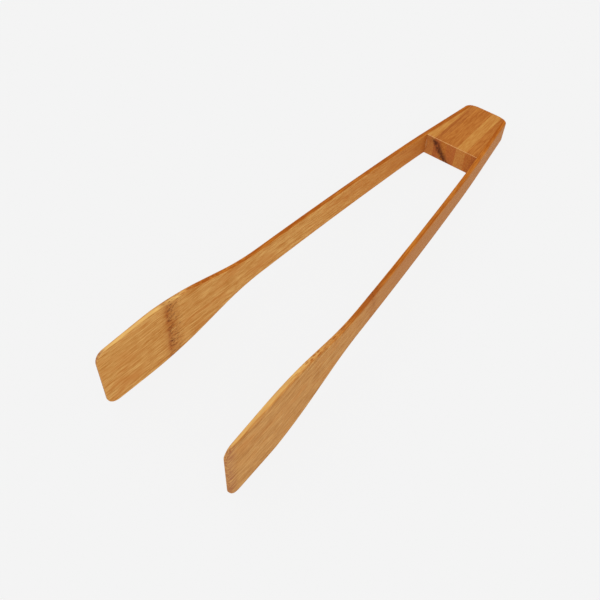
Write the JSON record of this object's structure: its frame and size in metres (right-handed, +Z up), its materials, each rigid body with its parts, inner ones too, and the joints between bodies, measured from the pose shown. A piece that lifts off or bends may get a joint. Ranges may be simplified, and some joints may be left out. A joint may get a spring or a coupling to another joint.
{
  "type": "bamboo tongs",
  "caption": "Long bamboo tongs: two bent slats with flat spatula blades, glued to a laminated spacer block, springing shut when squeezed.",
  "frame": {"origin": "on the ground under the middle of the tongs as they lie at rest", "axes": "+Y runs from the blade tips to the spacer block, +X to the right arm, +Z up"},
  "size_m": [0.0788, 0.2996, 0.042],
  "materials": {
    "arm_bamboo": "oiled satin, carbonised bamboo",
    "pale_bamboo": "oiled satin, natural bamboo",
    "brown_bamboo": "oiled satin, carbonised bamboo",
    "dark_bamboo": "oiled satin, dark bamboo"
  },
  "bodies": {
    "block": {"block_strip_1": "pale_bamboo", "block_strip_2": "dark_bamboo", "block_strip_3": "brown_bamboo", "block_strip_4": "brown_bamboo", "block_strip_5": "pale_bamboo", "block_strip_6": "brown_bamboo", "block_strip_7": "brown_bamboo", "left_arm_root": "arm_bamboo", "right_arm_root": "arm_bamboo"},
    "left_arm": {"left_arm": "arm_bamboo"},
    "right_arm": {"right_arm": "arm_bamboo"}
  },
  "joints": [
    {"name": "left_arm_flex", "type": "hinge", "parent": "block", "child": "left_arm", "pos_m": [-0.02317, 0.06461, 0.01106], "axis": [0, 0.0525, 0.9986], "range_deg": [0, 9.9], "stiffness_Nm_per_rad": 3.6},
    {"name": "right_arm_flex", "type": "hinge", "parent": "block", "child": "right_arm", "pos_m": [0.02317, 0.06461, 0.01106], "axis": [0, -0.0525, -0.9986], "range_deg": [0, 9.9], "stiffness_Nm_per_rad": 3.6}
  ]
}
